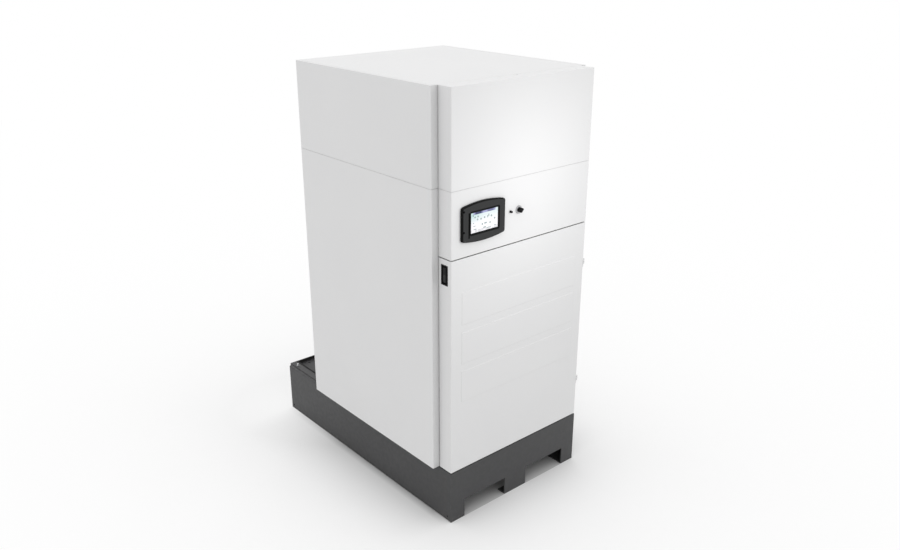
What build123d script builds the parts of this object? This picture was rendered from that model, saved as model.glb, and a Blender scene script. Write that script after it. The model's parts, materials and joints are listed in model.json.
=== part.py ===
from build123d import *
import os

# A vertical packaged boiler: a folded steel skid with two fork pockets carries a
# tube frame, white sheet panels, a hood, a control section and a hinged door.
# Origin on the floor at the middle of the footprint, front towards -Y, sizes in mm.

# Cabinet
overall_height = 2000
cabinet_width = 901
cabinet_depth = 987
sheet = 2
bend_radius = 4
panel_flange = 56
panel_base_gap = 4
seam_gap = 2
top_return = 20
frame_tube = 40
frame_wall = 3
frame_skid_inset = 2.5

# Skid
skid_inset = 35.5
skid_rear_extension = 338
base_height = 264
base_plate = 5
middle_leg_width = 143
outer_leg_width = 84
fork_notch_height = 92
foot_flange_depth = 42
rail_top_flange = 53
kerb_height = 14
kerb_inset = 7
kerb_width = 46
kerb_gap = 4
deck_plate = 4
cross_member_gap = 4
cross_member_flange = 50
cross_member_count = 3
cross_member_end_distance = 300
tie_down_radius = 5
tie_down_level = 22
tie_down_inset = 25

# Hood, control section and door
hood_height = 414
control_height = 290.5
pan_inset = 36
pan_depth = 77
pan_stand_off = 83
pan_rim = 20
door_gap = 5
hood_top_lip_gap = 1
gasket_width = 12
gasket_edge = 0.5

# Pressed fields of the door
field_count = 3
field_side_margin = 60
field_height = 150
field_pitch = 186
field_drop = 152.5
field_rise = 1.5
field_slope = 45

# Door hinges
hinge_inset = 198
hinge_barrel_radius = 6
hinge_barrel_length = 25
hinge_side_offset = 6.5
hinge_front_offset = 6
hinge_pin_radius = 2.5
hinge_pin_clearance = 0.2
hinge_washer_gap = 0.6
hinge_leaf = 2.5
hinge_leaf_length = 44
hinge_leaf_extra = 18
hinge_arm = 3
hinge_arm_clearance = 5
hinge_foot_width = 22

# Door latch
latch_height = 90
latch_width = 42
latch_flange = 1.5
latch_depth = 14
latch_cup_wall = 2
latch_rim = 3
latch_drop = 69.5
latch_back_distance = 35
paddle_width = 20
paddle_length = 68
paddle_thickness = 3.5
paddle_barrel_radius = 4
paddle_end_gap = 5
latch_pin_radius = 2
latch_pin_clearance = 0.2

# Display and switches
controls_height = 145
display_inset = 170.5
display_drop = 2.5
bezel_half_width = 121
bezel_half_height = 72.5
bezel_top_rise = 14
bezel_bottom_drop = 13
bezel_corner = 10
bezel_thickness = 14
bezel_edge = 4
screen_shift = 2.5
screen_width = 151
screen_height = 87
screen_margin = 9
screen_recess = 3
screen_thickness = 2
screen_clearance = 0.3
switch_inset = 333
switch_radius = 5.5
switch_hole_clearance = 0.3
switch_proud = 12
selector_inset = 382
selector_ring_radius = 18
selector_ring_height = 5
selector_hole_radius = 11.2
selector_clearance = 0.3
selector_neck_depth = 12
knob_skirt_proud = 1
knob_grip_height = 18
knob_grip_width = 12
knob_rest_turn = 45

# Controls box behind the control section
controls_box_side_gap = 40
controls_box_depth = 160
controls_box_height = 240
controls_box_front_gap = 10
controls_box_edge = 6

# Pressure vessel and flue collector
vessel_side_room = 120.5
vessel_front_room = 187
vessel_rear_room = 131
vessel_top_room = 500
vessel_wall = 12
head_rim = 15
head_thickness = 20
burner_boss_radius = 150
burner_boss_height = 60
collector_step = 34
collector_height = 280
collector_wall = 4

# Rear connections
flue_rise = 150
flue_radius = 101.5
flue_wall = 2
flue_reach = 150
nozzle_radius = 39
nozzle_wall = 5.45
nozzle_port_step = 2
nozzle_reach = 112
nozzle_flange_radius = 95.25
nozzle_flange_thickness = 24
nozzle_bolt_edge = 19.05
nozzle_bolt_radius = 9.5
nozzle_bolt_count = 4
return_rise = 150
supply_drop = 100
vessel_joint_gap = 0.3
inlet_inset = 200
air_inlet_drop = 230
air_inlet_radius = 75
air_inlet_wall = 2
air_inlet_reach = 70
inner_stub = 30
gas_inlet_drop = 280
gas_inlet_radius = 24.15
gas_inlet_wall = 3.7
gas_inlet_reach = 60
gas_plate_rim = 20.85
gas_plate_thickness = 4
panel_hole_clearance = 4
panel_seat_clearance = 0.3
trap_width = 120
trap_depth = 100
trap_height = 140
trap_edge = 8
trap_side_gap = 18
trap_front_gap = 62
drain_radius = 16
drain_wall = 2.5
drain_inset = 19.5
drain_rise = 60
drain_reach = 60

# Levels and faces that the pieces share
knob_shoulder = selector_ring_height + knob_skirt_proud
knob_reach = knob_shoulder + knob_grip_height
base_width = cabinet_width - 2 * skid_inset
base_depth = pan_stand_off + cabinet_depth + skid_rear_extension
overall_depth = base_depth + knob_reach
front_y = knob_reach - overall_depth / 2
rear_y = front_y + base_depth
cabinet_front = front_y + pan_stand_off
cabinet_rear = cabinet_front + cabinet_depth
pan_back = front_y + pan_depth
cabinet_side = cabinet_width / 2
pan_side = cabinet_side - pan_inset
pan_width = 2 * pan_side
seam_level = overall_height - hood_height
control_bottom = seam_level - control_height
door_bottom = base_height + door_gap
door_top = control_bottom - door_gap
control_top = seam_level - seam_gap / 2
hood_bottom = seam_level + seam_gap / 2
panel_bottom = base_height + panel_base_gap
controls_level = control_bottom + controls_height
cover_bottom = overall_height - sheet
frame_top = cover_bottom
post_top = frame_top - frame_tube
frame_side = base_width / 2 - frame_skid_inset
frame_front = cabinet_front + sheet
frame_rear = cabinet_rear - sheet
rail_inside = base_width / 2 - base_plate
deck_top = base_height - base_plate
deck_bottom = deck_top - deck_plate
header_centre = control_bottom - door_gap / 2
cross_member_depth = deck_bottom - fork_notch_height - cross_member_gap
fork_notch_width = (base_width - middle_leg_width) / 2 - outer_leg_width
notch_centre = (middle_leg_width + fork_notch_width) / 2
display_x = display_inset - pan_side
switch_x = switch_inset - pan_side
selector_x = selector_inset - pan_side

# The round vessel takes the room that is left across and along the cabinet, whichever is less
room_across = cabinet_width - 2 * vessel_side_room
room_along = cabinet_depth - vessel_front_room - vessel_rear_room
vessel_radius = min(room_across, room_along) / 2
head_radius = vessel_radius + head_rim
collector_radius = vessel_radius - collector_step
vessel_y = cabinet_front + vessel_front_room + vessel_radius
collector_top = deck_top + collector_height
shell_bottom = collector_top + head_thickness
shell_top = overall_height - vessel_top_room
flue_level = deck_top + flue_rise
return_level = shell_bottom + return_rise
supply_level = shell_top - supply_drop
nozzle_outer_radius = nozzle_radius + nozzle_wall

os.makedirs("parts", exist_ok=True)


def write(builder, name):
    builder.part.label = name
    export_step(builder.part, f"parts/{name}.step")


def plane_facing_front(y):
    return Plane.XZ.offset(-y)


# Skid rails: folded channels, open inwards, that stand on their lower flanges. Behind the cabinet
# each carries a flat kerb on its top flange
with BuildPart() as base_left_rail:
    with BuildSketch(plane_facing_front(rear_y - base_plate)):
        with Locations((-base_width / 2, 0)):
            Rectangle(base_plate, base_height, align=(Align.MIN, Align.MIN))
            Rectangle(outer_leg_width, base_plate, align=(Align.MIN, Align.MIN))
        with Locations((-base_width / 2, base_height)):
            Rectangle(rail_top_flange, base_plate, align=(Align.MIN, Align.MAX))
    extrude(amount=base_depth - 2 * base_plate)
    with BuildSketch(Plane.YZ.offset(-base_width / 2)):
        with Locations((front_y + tie_down_inset, tie_down_level)):
            Circle(tie_down_radius)
        with Locations((rear_y - tie_down_inset, tie_down_level)):
            Circle(tie_down_radius)
    extrude(amount=base_plate, mode=Mode.SUBTRACT)
    outer_edges = base_left_rail.edges().filter_by(Axis.Y).group_by(Axis.X)[0]
    fillet(outer_edges, bend_radius)
    with BuildSketch(plane_facing_front(rear_y - base_plate)):
        with Locations((kerb_inset - base_width / 2, base_height)):
            Rectangle(kerb_width, kerb_height, align=(Align.MIN, Align.MIN))
    extrude(amount=rear_y - base_plate - cabinet_rear - kerb_gap)
write(base_left_rail, "base_left_rail")

with BuildPart() as base_right_rail:
    mirror(base_left_rail.part, about=Plane.YZ)
write(base_right_rail, "base_right_rail")

# Skid end plates, each with two fork notches and a foot folded under the middle leg. The rear one
# rises to the kerbs
with BuildPart() as base_front_plate:
    with BuildSketch(plane_facing_front(front_y + base_plate)):
        Rectangle(base_width, base_height, align=(Align.CENTER, Align.MIN))
        with Locations((-notch_centre, 0), (notch_centre, 0)):
            Rectangle(
                fork_notch_width, fork_notch_height, align=(Align.CENTER, Align.MIN), mode=Mode.SUBTRACT
            )
    extrude(amount=base_plate)
    with BuildSketch(Plane.XY):
        with Locations((0, front_y + base_plate)):
            Rectangle(middle_leg_width, foot_flange_depth, align=(Align.CENTER, Align.MIN))
    extrude(amount=base_plate)
write(base_front_plate, "base_front_plate")

with BuildPart() as base_rear_plate:
    mirror(base_front_plate.part, about=Plane.XZ.offset(-(front_y + rear_y) / 2))
    with BuildSketch(plane_facing_front(rear_y)):
        with Locations((0, base_height)):
            Rectangle(base_width - 2 * kerb_inset, kerb_height, align=(Align.CENTER, Align.MIN))
    extrude(amount=base_plate)
write(base_rear_plate, "base_rear_plate")

# Cross members above the fork pockets, and the deck on them, under the rails' top flanges
cross_member_pitch = (base_depth - 2 * cross_member_end_distance) / (cross_member_count - 1)
with BuildPart() as base_cross_members:
    for row in range(cross_member_count):
        web_y = front_y + cross_member_end_distance + row * cross_member_pitch
        with BuildSketch(Plane.YZ.offset(-rail_inside)):
            with Locations((web_y, deck_bottom)):
                Rectangle(base_plate, cross_member_depth, align=(Align.CENTER, Align.MAX))
                Rectangle(cross_member_flange, base_plate, align=(Align.CENTER, Align.MAX))
            with Locations((web_y, deck_bottom - cross_member_depth)):
                Rectangle(cross_member_flange, base_plate, align=(Align.CENTER, Align.MIN))
        extrude(amount=2 * rail_inside)
write(base_cross_members, "base_cross_members")

with BuildPart() as base_deck:
    with BuildSketch(Plane.XY.offset(deck_bottom)):
        with Locations((0, front_y + base_plate)):
            Rectangle(2 * rail_inside, base_depth - 2 * base_plate, align=(Align.CENTER, Align.MIN))
    extrude(amount=deck_plate)
write(base_deck, "base_deck")

# Frame of square tube: posts on the skid's top flanges, rails round the top, a header over the door
post_x = frame_side - frame_tube / 2
front_post_y = frame_front + frame_tube / 2
rear_post_y = frame_rear - frame_tube / 2
tube_hole = frame_tube - 2 * frame_wall

with BuildPart() as front_posts:
    with BuildSketch(Plane.XY.offset(base_height)):
        with Locations((-post_x, front_post_y), (post_x, front_post_y)):
            Rectangle(frame_tube, frame_tube)
            Rectangle(tube_hole, tube_hole, mode=Mode.SUBTRACT)
    extrude(amount=post_top - base_height)
write(front_posts, "front_posts")

with BuildPart() as rear_posts:
    with BuildSketch(Plane.XY.offset(base_height)):
        with Locations((-post_x, rear_post_y), (post_x, rear_post_y)):
            Rectangle(frame_tube, frame_tube)
            Rectangle(tube_hole, tube_hole, mode=Mode.SUBTRACT)
    extrude(amount=post_top - base_height)
write(rear_posts, "rear_posts")

with BuildPart() as top_side_rails:
    with BuildSketch(plane_facing_front(frame_rear)):
        with Locations((-post_x, frame_top - frame_tube / 2), (post_x, frame_top - frame_tube / 2)):
            Rectangle(frame_tube, frame_tube)
            Rectangle(tube_hole, tube_hole, mode=Mode.SUBTRACT)
    extrude(amount=frame_rear - frame_front)
write(top_side_rails, "top_side_rails")

cross_rail_end = frame_side - frame_tube
with BuildPart() as top_cross_rails:
    with BuildSketch(Plane.YZ.offset(-cross_rail_end)):
        with Locations((front_post_y, frame_top - frame_tube / 2), (rear_post_y, frame_top - frame_tube / 2)):
            Rectangle(frame_tube, frame_tube)
            Rectangle(tube_hole, tube_hole, mode=Mode.SUBTRACT)
    extrude(amount=2 * cross_rail_end)
write(top_cross_rails, "top_cross_rails")

with BuildPart() as door_header_rail:
    with BuildSketch(Plane.YZ.offset(-cross_rail_end)):
        with Locations((front_post_y, header_centre)):
            Rectangle(frame_tube, frame_tube)
            Rectangle(tube_hole, tube_hole, mode=Mode.SUBTRACT)
    extrude(amount=2 * cross_rail_end)
write(door_header_rail, "door_header_rail")


# Side panels: sheet folded round the cabinet's corners onto the posts
def left_side_panel(bottom, top, has_top_return):
    with BuildPart() as panel:
        with BuildSketch(Plane.XY.offset(bottom)):
            with Locations((-cabinet_side, cabinet_front)):
                Rectangle(panel_flange, cabinet_depth, align=(Align.MIN, Align.MIN))
            with Locations((-cabinet_side + sheet, cabinet_front + sheet)):
                Rectangle(
                    panel_flange, cabinet_depth - 2 * sheet, align=(Align.MIN, Align.MIN), mode=Mode.SUBTRACT
                )
        extrude(amount=top - bottom)
        if has_top_return:
            with BuildSketch(Plane.XY.offset(cover_bottom)):
                with Locations((-cabinet_side, cabinet_front)):
                    Rectangle(panel_flange, cabinet_depth, align=(Align.MIN, Align.MIN))
            extrude(amount=sheet, mode=Mode.SUBTRACT)
            with BuildSketch(Plane.XY.offset(cover_bottom)):
                with Locations((-cabinet_side, cabinet_front)):
                    Rectangle(top_return, cabinet_depth, align=(Align.MIN, Align.MIN))
            extrude(amount=sheet)
        fillet(panel.edges().filter_by(Axis.Z).group_by(Axis.X)[0], bend_radius)
    return panel


left_panel_lower = left_side_panel(panel_bottom, control_top, False)
write(left_panel_lower, "left_panel_lower")
left_panel_upper = left_side_panel(hood_bottom, overall_height, True)
write(left_panel_upper, "left_panel_upper")

with BuildPart() as right_panel_lower:
    mirror(left_panel_lower.part, about=Plane.YZ)
write(right_panel_lower, "right_panel_lower")

with BuildPart() as right_panel_upper:
    mirror(left_panel_upper.part, about=Plane.YZ)
write(right_panel_upper, "right_panel_upper")

# Rear panels between the side panels' flanges, cut for the connections
rear_panel_width = 2 * (cabinet_side - panel_flange - seam_gap)
nozzle_hole = nozzle_outer_radius + panel_hole_clearance
flue_hole = flue_radius + flue_wall + panel_hole_clearance
inlet_x = rear_panel_width / 2 - inlet_inset
air_inlet_level = overall_height - air_inlet_drop
gas_inlet_level = overall_height - gas_inlet_drop
trap_left = rail_top_flange + trap_side_gap - base_width / 2
drain_x = trap_left + drain_inset
drain_level = deck_top + drain_rise

with BuildPart() as rear_panel_lower:
    with BuildSketch(plane_facing_front(cabinet_rear)):
        with Locations((0, panel_bottom)):
            Rectangle(rear_panel_width, control_top - panel_bottom, align=(Align.CENTER, Align.MIN))
        with Locations((0, return_level), (0, supply_level)):
            Circle(nozzle_hole, mode=Mode.SUBTRACT)
        with Locations((0, flue_level)):
            Circle(flue_hole, mode=Mode.SUBTRACT)
        with Locations((drain_x, drain_level)):
            Circle(drain_radius + panel_hole_clearance / 2, mode=Mode.SUBTRACT)
    extrude(amount=sheet)
write(rear_panel_lower, "rear_panel_lower")

with BuildPart() as rear_panel_upper:
    with BuildSketch(plane_facing_front(cabinet_rear)):
        with Locations((0, hood_bottom)):
            Rectangle(rear_panel_width, cover_bottom - hood_bottom, align=(Align.CENTER, Align.MIN))
        with Locations((inlet_x, air_inlet_level)):
            Circle(air_inlet_radius + air_inlet_wall + panel_seat_clearance, mode=Mode.SUBTRACT)
        with Locations((-inlet_x, gas_inlet_level)):
            Circle(gas_inlet_radius + panel_hole_clearance, mode=Mode.SUBTRACT)
    extrude(amount=sheet)
write(rear_panel_upper, "rear_panel_upper")

with BuildPart() as top_cover:
    cover_side = cabinet_side - top_return - seam_gap / 2
    with BuildSketch(Plane.XY.offset(cover_bottom)):
        with Locations((0, cabinet_front)):
            Rectangle(2 * cover_side, cabinet_depth, align=(Align.CENTER, Align.MIN))
    extrude(amount=sheet)
write(top_cover, "top_cover")


# Folded pans at the front: a face, four returns and a rim turned in at the back
def front_pan(bottom, top):
    height = top - bottom
    middle = (top + bottom) / 2
    with BuildPart() as pan:
        with BuildSketch(plane_facing_front(pan_back)):
            with Locations((0, middle)):
                Rectangle(pan_width, height)
        extrude(amount=pan_depth)
        fillet(pan.edges().filter_by(Axis.Z).group_by(Axis.Y)[0], bend_radius)
        with BuildSketch(plane_facing_front(pan_back - sheet)):
            with Locations((0, middle)):
                Rectangle(pan_width - 2 * sheet, height - 2 * sheet)
        extrude(amount=pan_depth - 2 * sheet, mode=Mode.SUBTRACT)
        with BuildSketch(plane_facing_front(pan_back)):
            with Locations((0, middle)):
                Rectangle(pan_width - 2 * (sheet + pan_rim), height - 2 * (sheet + pan_rim))
        extrude(amount=sheet, mode=Mode.SUBTRACT)
    return pan


with BuildPart() as front_hood:
    add(front_pan(hood_bottom, overall_height).part)
    with BuildSketch(Plane.XY.offset(cover_bottom)):
        with Locations((0, pan_back)):
            lip = cabinet_front - pan_back - hood_top_lip_gap
            Rectangle(pan_width, lip, align=(Align.CENTER, Align.MIN))
    extrude(amount=sheet)
write(front_hood, "front_hood")

with BuildPart() as control_panel:
    add(front_pan(control_bottom, control_top).part)
    with BuildSketch(plane_facing_front(front_y + sheet)):
        with Locations((switch_x, controls_level)):
            Circle(switch_radius + switch_hole_clearance)
        with Locations((selector_x, controls_level)):
            Circle(selector_hole_radius)
    extrude(amount=sheet, mode=Mode.SUBTRACT)
write(control_panel, "control_panel")

# Strips that close the joint between the fixed pans and the side panels' flanges
gasket_x = pan_side - gasket_edge - gasket_width / 2
with BuildPart() as pan_gaskets:
    with BuildSketch(Plane.XY.offset(control_bottom)):
        with Locations((-gasket_x, pan_back), (gasket_x, pan_back)):
            Rectangle(gasket_width, cabinet_front - pan_back, align=(Align.CENTER, Align.MIN))
    extrude(amount=cover_bottom - gasket_edge - control_bottom)
write(pan_gaskets, "pan_gaskets")

# Door: the same pan with three pressed fields and a cut for the latch in its left return
latch_level = door_top - latch_drop
latch_y = pan_back - latch_back_distance
field_width = pan_width - 2 * field_side_margin
cup_width = latch_width - 2 * latch_rim
cup_height = latch_height - 2 * latch_rim

with BuildPart() as front_door:
    add(front_pan(door_bottom, door_top).part)
    for row in range(field_count):
        field_centre = door_top - field_drop - row * field_pitch - field_height / 2
        with BuildSketch(plane_facing_front(front_y)):
            with Locations((0, field_centre)):
                Rectangle(field_width, field_height)
        extrude(amount=field_rise, taper=field_slope)
        with BuildSketch(plane_facing_front(front_y + sheet)):
            with Locations((0, field_centre)):
                Rectangle(field_width, field_height)
        extrude(amount=field_rise, taper=field_slope, mode=Mode.SUBTRACT)
    with BuildSketch(Plane.YZ.offset(-pan_side)):
        with Locations((latch_y, latch_level)):
            Rectangle(cup_width + 2 * latch_pin_clearance, cup_height + 2 * latch_pin_clearance)
    extrude(amount=sheet, mode=Mode.SUBTRACT)
write(front_door, "front_door")

# Paddle latch in the door's left return: a cup with a cross pin, and the paddle on it
paddle_face_x = -pan_side - latch_flange
latch_pin_x = paddle_face_x + paddle_barrel_radius
latch_pin_z = latch_level + cup_height / 2 - latch_cup_wall - paddle_end_gap - paddle_barrel_radius

with BuildPart() as latch_cup:
    with BuildSketch(Plane.YZ.offset(-pan_side)):
        with Locations((latch_y, latch_level)):
            RectangleRounded(latch_width, latch_height, latch_rim)
    extrude(amount=-latch_flange)
    with BuildSketch(Plane.YZ.offset(-pan_side)):
        with Locations((latch_y, latch_level)):
            Rectangle(cup_width, cup_height)
    extrude(amount=latch_depth)
    with BuildSketch(Plane.YZ.offset(-pan_side - latch_flange)):
        with Locations((latch_y, latch_level)):
            Rectangle(cup_width - 2 * latch_cup_wall, cup_height - 2 * latch_cup_wall)
    extrude(amount=latch_flange + latch_depth - latch_cup_wall, mode=Mode.SUBTRACT)
    with BuildSketch(plane_facing_front(latch_y + cup_width / 2 - latch_cup_wall)):
        with Locations((latch_pin_x, latch_pin_z)):
            Circle(latch_pin_radius)
    extrude(amount=cup_width - 2 * latch_cup_wall)
write(latch_cup, "latch_cup")

with BuildPart() as latch_paddle:
    with BuildSketch(plane_facing_front(latch_y + paddle_width / 2)):
        with Locations((latch_pin_x, latch_pin_z)):
            Circle(paddle_barrel_radius)
        with Locations((paddle_face_x, latch_pin_z)):
            paddle_drop = paddle_length - paddle_barrel_radius
            Rectangle(paddle_thickness, paddle_drop, align=(Align.MIN, Align.MAX))
        with Locations((latch_pin_x, latch_pin_z)):
            Circle(latch_pin_radius + latch_pin_clearance, mode=Mode.SUBTRACT)
    extrude(amount=paddle_width)
write(latch_paddle, "latch_paddle")


# Door hinges: a bracket with a fixed pin on the cabinet, a knuckle with a leaf on the door
hinge_x = pan_side + hinge_side_offset
hinge_y = front_y + hinge_front_offset
half_barrel = (hinge_barrel_length - hinge_washer_gap) / 2


def hinge_bracket(centre):
    bottom = centre - hinge_barrel_length / 2
    arm_inner = pan_side + hinge_arm_clearance
    with BuildPart() as bracket:
        with BuildSketch(Plane.XY.offset(bottom)):
            with Locations((hinge_x, hinge_y)):
                Circle(hinge_barrel_radius)
        extrude(amount=half_barrel)
        with BuildSketch(Plane.XY.offset(bottom)):
            with Locations((hinge_x, hinge_y)):
                Circle(hinge_pin_radius)
        extrude(amount=hinge_barrel_length)
        with BuildSketch(Plane.XY.offset(bottom - hinge_leaf_extra)):
            with Locations((arm_inner, hinge_y)):
                Rectangle(hinge_arm, cabinet_front - hinge_y, align=(Align.MIN, Align.MIN))
            with Locations((arm_inner, cabinet_front)):
                Rectangle(hinge_foot_width, hinge_arm, align=(Align.MIN, Align.MAX))
        extrude(amount=hinge_leaf_extra + half_barrel)
    return bracket


def hinge_knuckle(centre):
    top = centre + hinge_barrel_length / 2
    bottom = top - half_barrel
    with BuildPart() as knuckle:
        with BuildSketch(Plane.XY.offset(bottom)):
            with Locations((hinge_x, hinge_y)):
                Circle(hinge_barrel_radius)
        extrude(amount=half_barrel)
        with BuildSketch(Plane.XY.offset(bottom)):
            with Locations((pan_side, hinge_y)):
                Rectangle(hinge_leaf, hinge_leaf_length, align=(Align.MIN, Align.MIN))
        extrude(amount=half_barrel + hinge_leaf_extra)
        with BuildSketch(Plane.XY.offset(bottom)):
            with Locations((hinge_x, hinge_y)):
                Circle(hinge_pin_radius + hinge_pin_clearance)
        extrude(amount=half_barrel, mode=Mode.SUBTRACT)
    return knuckle


lower_hinge_level = door_bottom + hinge_inset
upper_hinge_level = door_top - hinge_inset
write(hinge_bracket(lower_hinge_level), "lower_hinge_bracket")
write(hinge_bracket(upper_hinge_level), "upper_hinge_bracket")
write(hinge_knuckle(lower_hinge_level), "lower_hinge_leaf")
write(hinge_knuckle(upper_hinge_level), "upper_hinge_leaf")

# Display: a bezel with arched top and bottom, and the screen in its recess
screen_x = display_x + screen_shift
display_level = controls_level - display_drop
window_width = screen_width + 2 * screen_margin
window_height = screen_height + 2 * screen_margin
with BuildPart() as display_bezel:
    with BuildSketch(plane_facing_front(front_y)) as bezel_outline:
        with BuildLine():
            left = display_x - bezel_half_width
            right = display_x + bezel_half_width
            low = display_level - bezel_half_height
            high = display_level + bezel_half_height
            Line((left, low), (left, high))
            ThreePointArc((left, high), (display_x, high + bezel_top_rise), (right, high))
            Line((right, high), (right, low))
            ThreePointArc((right, low), (display_x, low - bezel_bottom_drop), (left, low))
        make_face()
        fillet(bezel_outline.vertices(), bezel_corner)
    extrude(amount=bezel_thickness)
    chamfer(display_bezel.faces().sort_by(Axis.Y)[0].edges(), bezel_edge)
    with BuildSketch(plane_facing_front(front_y - bezel_thickness)):
        with Locations((screen_x, display_level)):
            RectangleRounded(window_width, window_height, screen_margin)
    extrude(amount=-screen_recess, mode=Mode.SUBTRACT)
    with BuildSketch(plane_facing_front(front_y - bezel_thickness + screen_recess)):
        with Locations((screen_x, display_level)):
            Rectangle(screen_width + 2 * screen_clearance, screen_height + 2 * screen_clearance)
    extrude(amount=-screen_thickness, mode=Mode.SUBTRACT)
write(display_bezel, "display_bezel")

with BuildPart() as display_screen:
    with BuildSketch(plane_facing_front(front_y - bezel_thickness + screen_recess + screen_thickness)):
        with Locations((screen_x, display_level)):
            Rectangle(screen_width, screen_height)
    extrude(amount=screen_thickness)
write(display_screen, "display_screen")

# Small switch, and the selector: a ring screwed to the panel and the knob in it
with BuildPart() as burner_switch:
    with BuildSketch(plane_facing_front(front_y + selector_neck_depth)):
        with Locations((switch_x, controls_level)):
            Circle(switch_radius)
    extrude(amount=selector_neck_depth + switch_proud)
write(burner_switch, "burner_switch")

with BuildPart() as selector_ring:
    with BuildSketch(plane_facing_front(front_y)):
        with Locations((selector_x, controls_level)):
            Circle(selector_ring_radius)
            Circle(selector_hole_radius, mode=Mode.SUBTRACT)
    extrude(amount=selector_ring_height)
write(selector_ring, "selector_ring")

knob_radius = selector_hole_radius - selector_clearance
with BuildPart() as selector_knob:
    with BuildSketch(plane_facing_front(front_y + selector_neck_depth)):
        with Locations((selector_x, controls_level)):
            Circle(knob_radius)
    extrude(amount=selector_neck_depth + knob_shoulder)
    with BuildSketch(plane_facing_front(front_y - knob_shoulder)):
        with Locations(Location((selector_x, controls_level), 90 - knob_rest_turn)):
            Rectangle(2 * knob_radius, knob_grip_width)
    extrude(amount=knob_grip_height)
write(selector_knob, "selector_knob")

# Controls box on the header rail, open towards the control section
header_top = header_centre + frame_tube / 2
controls_box_width = 2 * (frame_side - frame_tube - controls_box_side_gap)
with BuildPart() as controls_box:
    with BuildSketch(Plane.XY.offset(header_top)):
        with Locations((0, frame_front + controls_box_front_gap)):
            Rectangle(controls_box_width, controls_box_depth, align=(Align.CENTER, Align.MIN))
    extrude(amount=controls_box_height)
    fillet(controls_box.edges().filter_by(Axis.Z), controls_box_edge)
    with BuildSketch(plane_facing_front(frame_front + controls_box_front_gap)):
        with Locations((0, header_top + controls_box_height / 2)):
            box_mouth = controls_box_width - 2 * controls_box_edge
            Rectangle(box_mouth, controls_box_height - 2 * sheet)
    extrude(amount=sheet - controls_box_depth, mode=Mode.SUBTRACT)
write(controls_box, "controls_box")

# Flue collector: a drum under the vessel, open to the flue at the back
with BuildPart() as flue_collector:
    with BuildSketch(Plane.XY.offset(deck_top)):
        with Locations((0, vessel_y)):
            Circle(collector_radius)
    extrude(amount=collector_height)
    with BuildSketch(Plane.XY.offset(deck_top + collector_wall)):
        with Locations((0, vessel_y)):
            Circle(collector_radius - collector_wall)
    extrude(amount=collector_height - collector_wall, mode=Mode.SUBTRACT)
    with BuildSketch(plane_facing_front(vessel_y)):
        with Locations((0, flue_level)):
            Circle(flue_radius + flue_wall)
    extrude(amount=-collector_radius, mode=Mode.SUBTRACT)
write(flue_collector, "flue_collector")

# Vessel: a shell with a port for each water nozzle, between a lower and an upper head
with BuildPart() as vessel_bottom_head:
    with BuildSketch(Plane.XY.offset(collector_top)):
        with Locations((0, vessel_y)):
            Circle(head_radius)
    extrude(amount=head_thickness)
write(vessel_bottom_head, "vessel_bottom_head")

with BuildPart() as vessel_shell:
    with BuildSketch(Plane.XY.offset(shell_bottom)):
        with Locations((0, vessel_y)):
            Circle(vessel_radius)
            Circle(vessel_radius - vessel_wall, mode=Mode.SUBTRACT)
    extrude(amount=shell_top - shell_bottom)
    with BuildSketch(plane_facing_front(vessel_y)):
        with Locations((0, return_level), (0, supply_level)):
            Circle(nozzle_radius + nozzle_port_step)
    extrude(amount=-vessel_radius, mode=Mode.SUBTRACT)
write(vessel_shell, "vessel_shell")

with BuildPart() as vessel_top_head:
    with BuildSketch(Plane.XY.offset(shell_top)):
        with Locations((0, vessel_y)):
            Circle(head_radius)
    extrude(amount=head_thickness)
    with BuildSketch(Plane.XY.offset(shell_top + head_thickness)):
        with Locations((0, vessel_y)):
            Circle(burner_boss_radius)
    extrude(amount=burner_boss_height)
write(vessel_top_head, "vessel_top_head")

# Flue outlet: a round spigot from the collector out through the rear panel
flue_end = cabinet_rear + flue_reach
with BuildPart() as flue_outlet:
    with BuildSketch(plane_facing_front(flue_end)):
        with Locations((0, flue_level)):
            Circle(flue_radius + flue_wall)
            Circle(flue_radius, mode=Mode.SUBTRACT)
    extrude(amount=flue_end - vessel_y)
    with BuildSketch(Plane.XY.offset(deck_top)):
        with Locations((0, vessel_y)):
            Circle(collector_radius + vessel_joint_gap)
    extrude(amount=collector_height, mode=Mode.SUBTRACT)
write(flue_outlet, "flue_outlet")

# Water nozzles: pipe from the shell's port with a bolted flange outside the rear panel
nozzle_end = cabinet_rear + nozzle_reach
nozzle_bolt_circle = nozzle_flange_radius - nozzle_bolt_edge


def water_nozzle(level):
    with BuildPart() as nozzle:
        with BuildSketch(plane_facing_front(nozzle_end)):
            with Locations((0, level)):
                Circle(nozzle_outer_radius)
        extrude(amount=nozzle_end - vessel_y)
        with BuildSketch(plane_facing_front(nozzle_end)):
            with Locations((0, level)):
                Circle(nozzle_flange_radius)
                with PolarLocations(nozzle_bolt_circle, nozzle_bolt_count, start_angle=45):
                    Circle(nozzle_bolt_radius, mode=Mode.SUBTRACT)
        extrude(amount=nozzle_flange_thickness)
        with BuildSketch(plane_facing_front(nozzle_end)):
            with Locations((0, level)):
                Circle(nozzle_radius)
        extrude(amount=nozzle_end - vessel_y, mode=Mode.SUBTRACT)
        with BuildSketch(Plane.XY.offset(shell_bottom)):
            with Locations((0, vessel_y)):
                Circle(vessel_radius + vessel_joint_gap)
        extrude(amount=shell_top - shell_bottom, mode=Mode.SUBTRACT)
    return nozzle


write(water_nozzle(return_level), "return_nozzle")
write(water_nozzle(supply_level), "supply_nozzle")

# Air inlet: a collar set in the rear panel
with BuildPart() as air_inlet_collar:
    with BuildSketch(plane_facing_front(cabinet_rear + air_inlet_reach)):
        with Locations((inlet_x, air_inlet_level)):
            Circle(air_inlet_radius + air_inlet_wall)
            Circle(air_inlet_radius, mode=Mode.SUBTRACT)
    extrude(amount=air_inlet_reach + inner_stub)
write(air_inlet_collar, "air_inlet_collar")

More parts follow.
